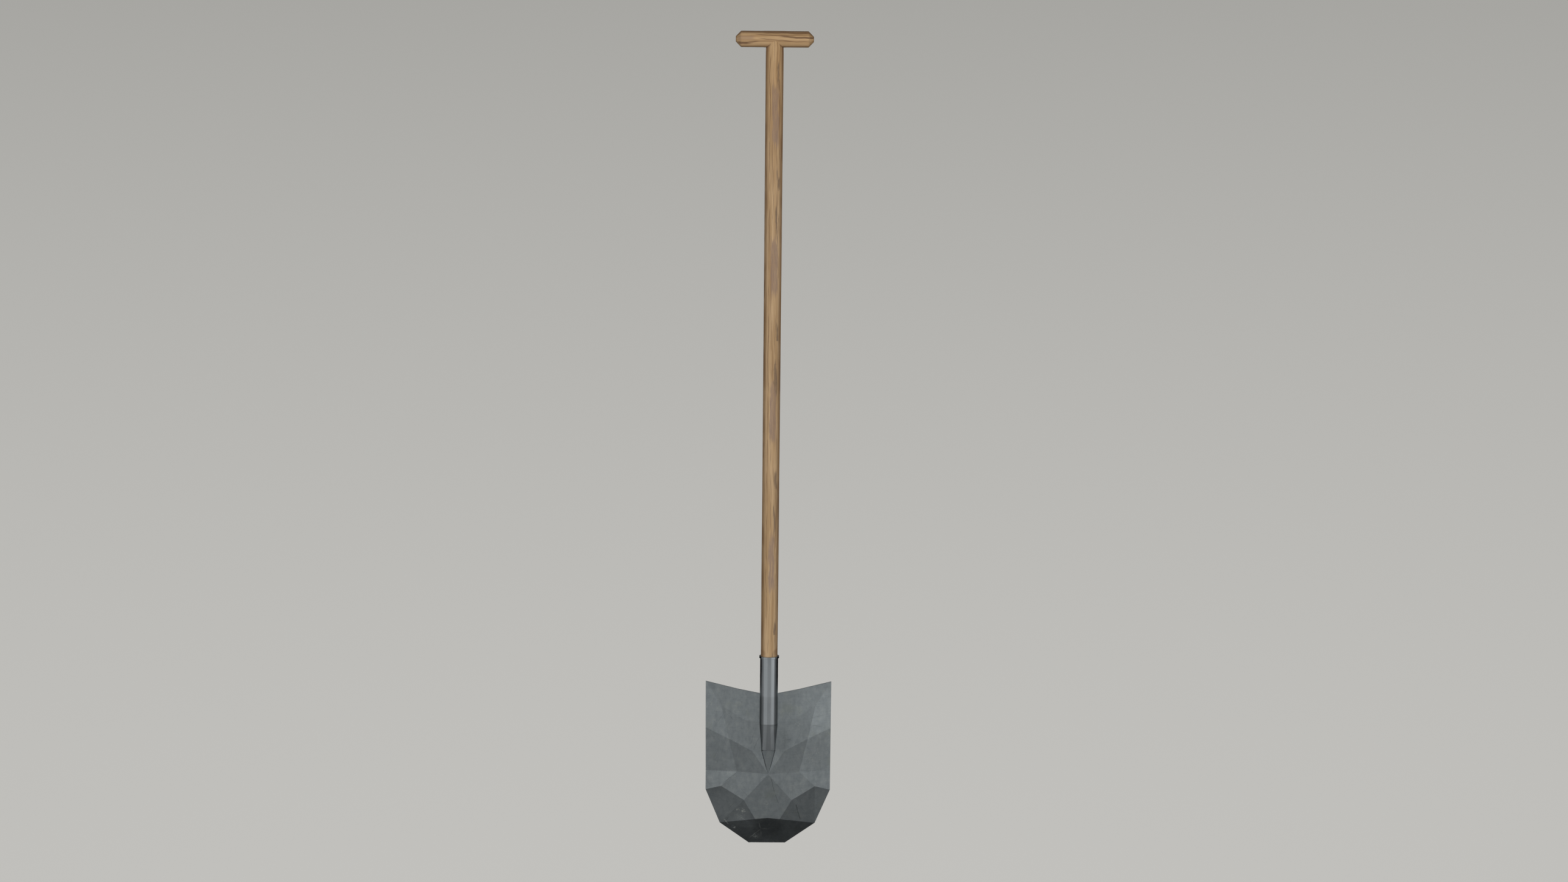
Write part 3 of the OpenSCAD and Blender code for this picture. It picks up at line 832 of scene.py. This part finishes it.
def lathe(work, rows, steps, wobble=None):
    """Rings of points along +Z from (z, radius) rows, joined by quads and capped where the radius is 0."""
    rings = []
    for z, radius in rows:
        if radius == 0:
            rings.append([work.verts.new((0, 0, z))])
            continue
        ring = []
        for i in range(steps):
            turn = 2 * math.pi * i / steps
            r = radius + (wobble(turn, z) if wobble else 0.0)
            ring.append(work.verts.new((r * math.cos(turn), r * math.sin(turn), z)))
        rings.append(ring)
    for low, high in zip(rings, rings[1:]):
        for i in range(steps):
            j = (i + 1) % steps
            if len(low) == 1:
                work.faces.new((low[0], high[j], high[i]))
            elif len(high) == 1:
                work.faces.new((low[i], low[j], high[0]))
            else:
                work.faces.new((low[i], low[j], high[j], high[i]))


def spaced(rows, longest):
    """Fills in (z, radius) rows so that no step along Z is longer than the given length."""
    out = [rows[0]]
    for (z0, r0), (z1, r1) in zip(rows, rows[1:]):
        steps = max(1, math.ceil(abs(z1 - z0) / longest))
        out += [(z0 + (z1 - z0) * k / steps, r0 + (r1 - r0) * k / steps) for k in range(1, steps + 1)]
    return out


# heights between which the shaft is parallel, and its radii there, inside the socket and just above it
SHAFT_WAIST_TOP = EDGE_Z + 0.702
SHAFT_WAIST_END = EDGE_Z + 0.472
WAIST_R = 0.01395
SOCKET_BORE_R = 0.0136
MOUTH_R = 0.01375
HEAD_R = SHAFT_HIGH.x
HUB_R = GRIP_HIGH.z


def turned(turn, z):
    """Slight unevenness of a hand-finished turned shaft, always inwards."""
    long_wave = noise.noise(Vector((math.cos(turn) * 0.7, math.sin(turn) * 0.7, z * 9.0)))
    short_wave = noise.noise(Vector((math.cos(turn) * 2.0, math.sin(turn) * 2.0, z * 40.0 + 7.0)))
    return -0.00009 + 0.00007 * long_wave + 0.00002 * short_wave


def build_shaft(material):
    """The turned shaft, from its foot in the socket to its head in the grip's hub."""
    foot_chamfer = 0.0008
    neck = -GRIP_R - 0.011
    top = -0.001
    rows = [
        (SHAFT_LOW.z, 0.0),
        (SHAFT_LOW.z, SOCKET_BORE_R - foot_chamfer),
        (SHAFT_LOW.z + foot_chamfer, SOCKET_BORE_R),
        (MOUTH_Z, SOCKET_BORE_R),
        (MOUTH_Z + 0.0005, MOUTH_R),
        (SHAFT_WAIST_END, WAIST_R),
        (SHAFT_WAIST_TOP, WAIST_R),
        (neck, HEAD_R),
        (-GRIP_R, HEAD_R - 0.0003),
        (top, HUB_R - 0.00042),
        (top, 0.0),
    ]
    work = bmesh.new()
    lathe(work, spaced(rows, 0.006), 72, turned)
    add_piece("shaft_turned", to_mesh(work, "shaft_turned", 40), material, ("shaft",))


def build_grip(material):
    """The cross grip: round bar, hub, and chamfered ends with their corners rubbed soft."""
    half = GRIP_HIGH.x
    chamfer = 0.0086
    hub_half, ramp = 0.017, 0.001
    # from the end's middle: flat face, rubbed corner, chamfer, rubbed corner, bar
    end = [(half, 0.0), (half, 0.0041), (half - 0.0002, GRIP_FACE_R), (half - 0.0006, 0.0050)]
    end += [(half - chamfer + 0.0006, GRIP_R - 0.0005), (half - chamfer - 0.0004, GRIP_R)]
    arm = end + [(hub_half + ramp, GRIP_R), (hub_half, HUB_R - 0.00004)]
    rows = [(-x, r) for x, r in arm] + [(x, r) for x, r in reversed(arm)]
    work = bmesh.new()
    lathe(work, spaced(rows, 0.0025), 72, lambda turn, x: 0.6 * turned(turn, x + 3.0))
    work.transform(Matrix.Rotation(math.radians(90), 4, "Y"))
    add_piece("grip_turned", to_mesh(work, "grip_turned", 30), material, ("grip",))


def build_blade(material):
    """The folded plate with crisp pressed folds, rounded rims and a nicked cutting edge."""
    work = cad_copy("blade")
    bevel_edges(work, 0.0008, 3, 45.0)
    bevel_edges(work, 0.0004, 1, 2.0, 30.0)
    low, shortest, cuts = EDGE_Z + 0.001, 0.02, 40
    cutting = [e for e in work.edges if all(v.co.z < low for v in e.verts) and e.calc_length() > shortest]
    bmesh.ops.subdivide_edges(work, edges=cutting, cuts=cuts)
    draw = random.Random(11)
    deepest, half = 0.0004, 0.028
    for vert in work.verts:
        if vert.co.z < low and abs(vert.co.x) < half:
            vert.co.z += deepest * draw.random() ** 3
    mesh = to_mesh(work, "blade_folded", 0)
    add_piece("blade_folded", mesh, material, ("blade",))


def build_socket(material):
    """The sixteen-sided tube and its forged taper, with crisp but not razor-sharp arrises."""
    work = cad_copy("socket")
    bevel_edges(work, 0.0002, 1, 8.0)
    add_piece("socket_forged", to_mesh(work, "socket_forged", 12), material, ("socket",))


def build_point(material):
    """The flat forged point, its edges rounded down to the blade."""
    work = cad_copy("socket_point")
    bevel_edges(work, 0.0009, 2, 40.0)
    mesh = to_mesh(work, "socket_point_forged", 12)
    add_piece("socket_point_forged", mesh, material, ("socket_point",))


def build_collar(material):
    """The forged sixteen-sided band at the mouth, its corners just rubbed off."""
    work = cad_copy("socket_collar")
    bevel_edges(work, 0.0003, 2, 15.0)
    mesh = to_mesh(work, "socket_collar_band", 12)
    add_piece("socket_collar_band", mesh, material, ("socket_collar",))


def build_rivets(material):
    """Four peened rivet heads, almost flush with the flats on the tube's two sides."""
    flat = RIVETS_HIGH.x
    shank_r, head_r, sunk = 0.0025, 0.0031, 0.001
    heights = (RIVETS_LOW.z + shank_r, RIVETS_HIGH.z - shank_r)
    work = bmesh.new()
    for z in heights:
        for side in (-1, 1):
            one = bmesh.new()
            dome = [(0.0, head_r), (0.00005, 0.0030), (0.00011, 0.0024), (0.00014, 0.0012), (0.00015, 0.0)]
            lathe(one, [(-sunk, 0.0), (-sunk, head_r)] + dome, 40)
            one.transform(Matrix.Rotation(math.radians(90 * side), 4, "Y"))
            one.transform(Matrix.Translation((side * flat, 0, z)))
            shape = bpy.data.meshes.new("rivet_head")
            one.to_mesh(shape)
            one.free()
            work.from_mesh(shape)
            bpy.data.meshes.remove(shape)
    mesh = to_mesh(work, "rivet_heads", 50)
    add_piece("rivet_heads", mesh, material, ("socket_rivets",))


def build_weld(name, node, side, material):
    """A rippled bead laid into the corner between the tube's back and the blade."""
    low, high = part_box(node)
    top = Vector((side * 0.0105, 0.0133, high.z - 0.0004))
    foot = Vector((side * 0.0118, 0.0103, low.z + 0.0006))
    steps, count = 24, 150
    bead_r, ripple_r, ripples = 0.0025, 0.00016, 17
    drift, drift_rate, rounding = 0.6, 23, 26
    work = bmesh.new()
    rings = []
    for k in range(count + 1):
        share = k / count
        centre = foot.lerp(top, share)
        end = min(1.0, min(share, 1 - share) * rounding)
        ripple = ripple_r * abs(math.sin(share * math.pi * ripples + drift * math.sin(share * drift_rate)))
        radius = (bead_r + ripple) * math.sqrt(max(0.02, end * (2 - end)))
        ring = []
        for i in range(steps):
            turn = 2 * math.pi * i / steps
            ring.append(work.verts.new(centre + Vector((math.cos(turn), math.sin(turn), 0)) * radius))
        rings.append(ring)
    for here, there in zip(rings, rings[1:]):
        for i in range(steps):
            j = (i + 1) % steps
            work.faces.new((here[i], here[j], there[j], there[i]))
    work.faces.new(list(reversed(rings[0])))
    work.faces.new(rings[-1])
    add_piece(name, to_mesh(work, name, 60), material, (node,))


# ---------------------------------------------------------------- build
make_camera()
make_world()
make_floor()
make_lights()

STEEL = blade_steel("blade_steel", 1.0)
TUBE = socket_steel()
WELD = weld_steel()
build_blade(STEEL)
build_socket(TUBE)
build_point(blade_steel("point_steel", 0.76))
build_collar(TUBE)
build_rivets(rivet_steel())
build_weld("weld_bead_left", "weld_left", -1, WELD)
build_weld("weld_bead_right", "weld_right", 1, WELD)
build_shaft(shaft_wood())
build_grip(grip_wood())
dress("grip_wedge", end_grain("wedge_wood", (0.20, 0.11, 0.055), (0.12, 0.065, 0.032), (0.02, 0.0)))

bpy.context.scene.view_settings.view_transform = "Standard"
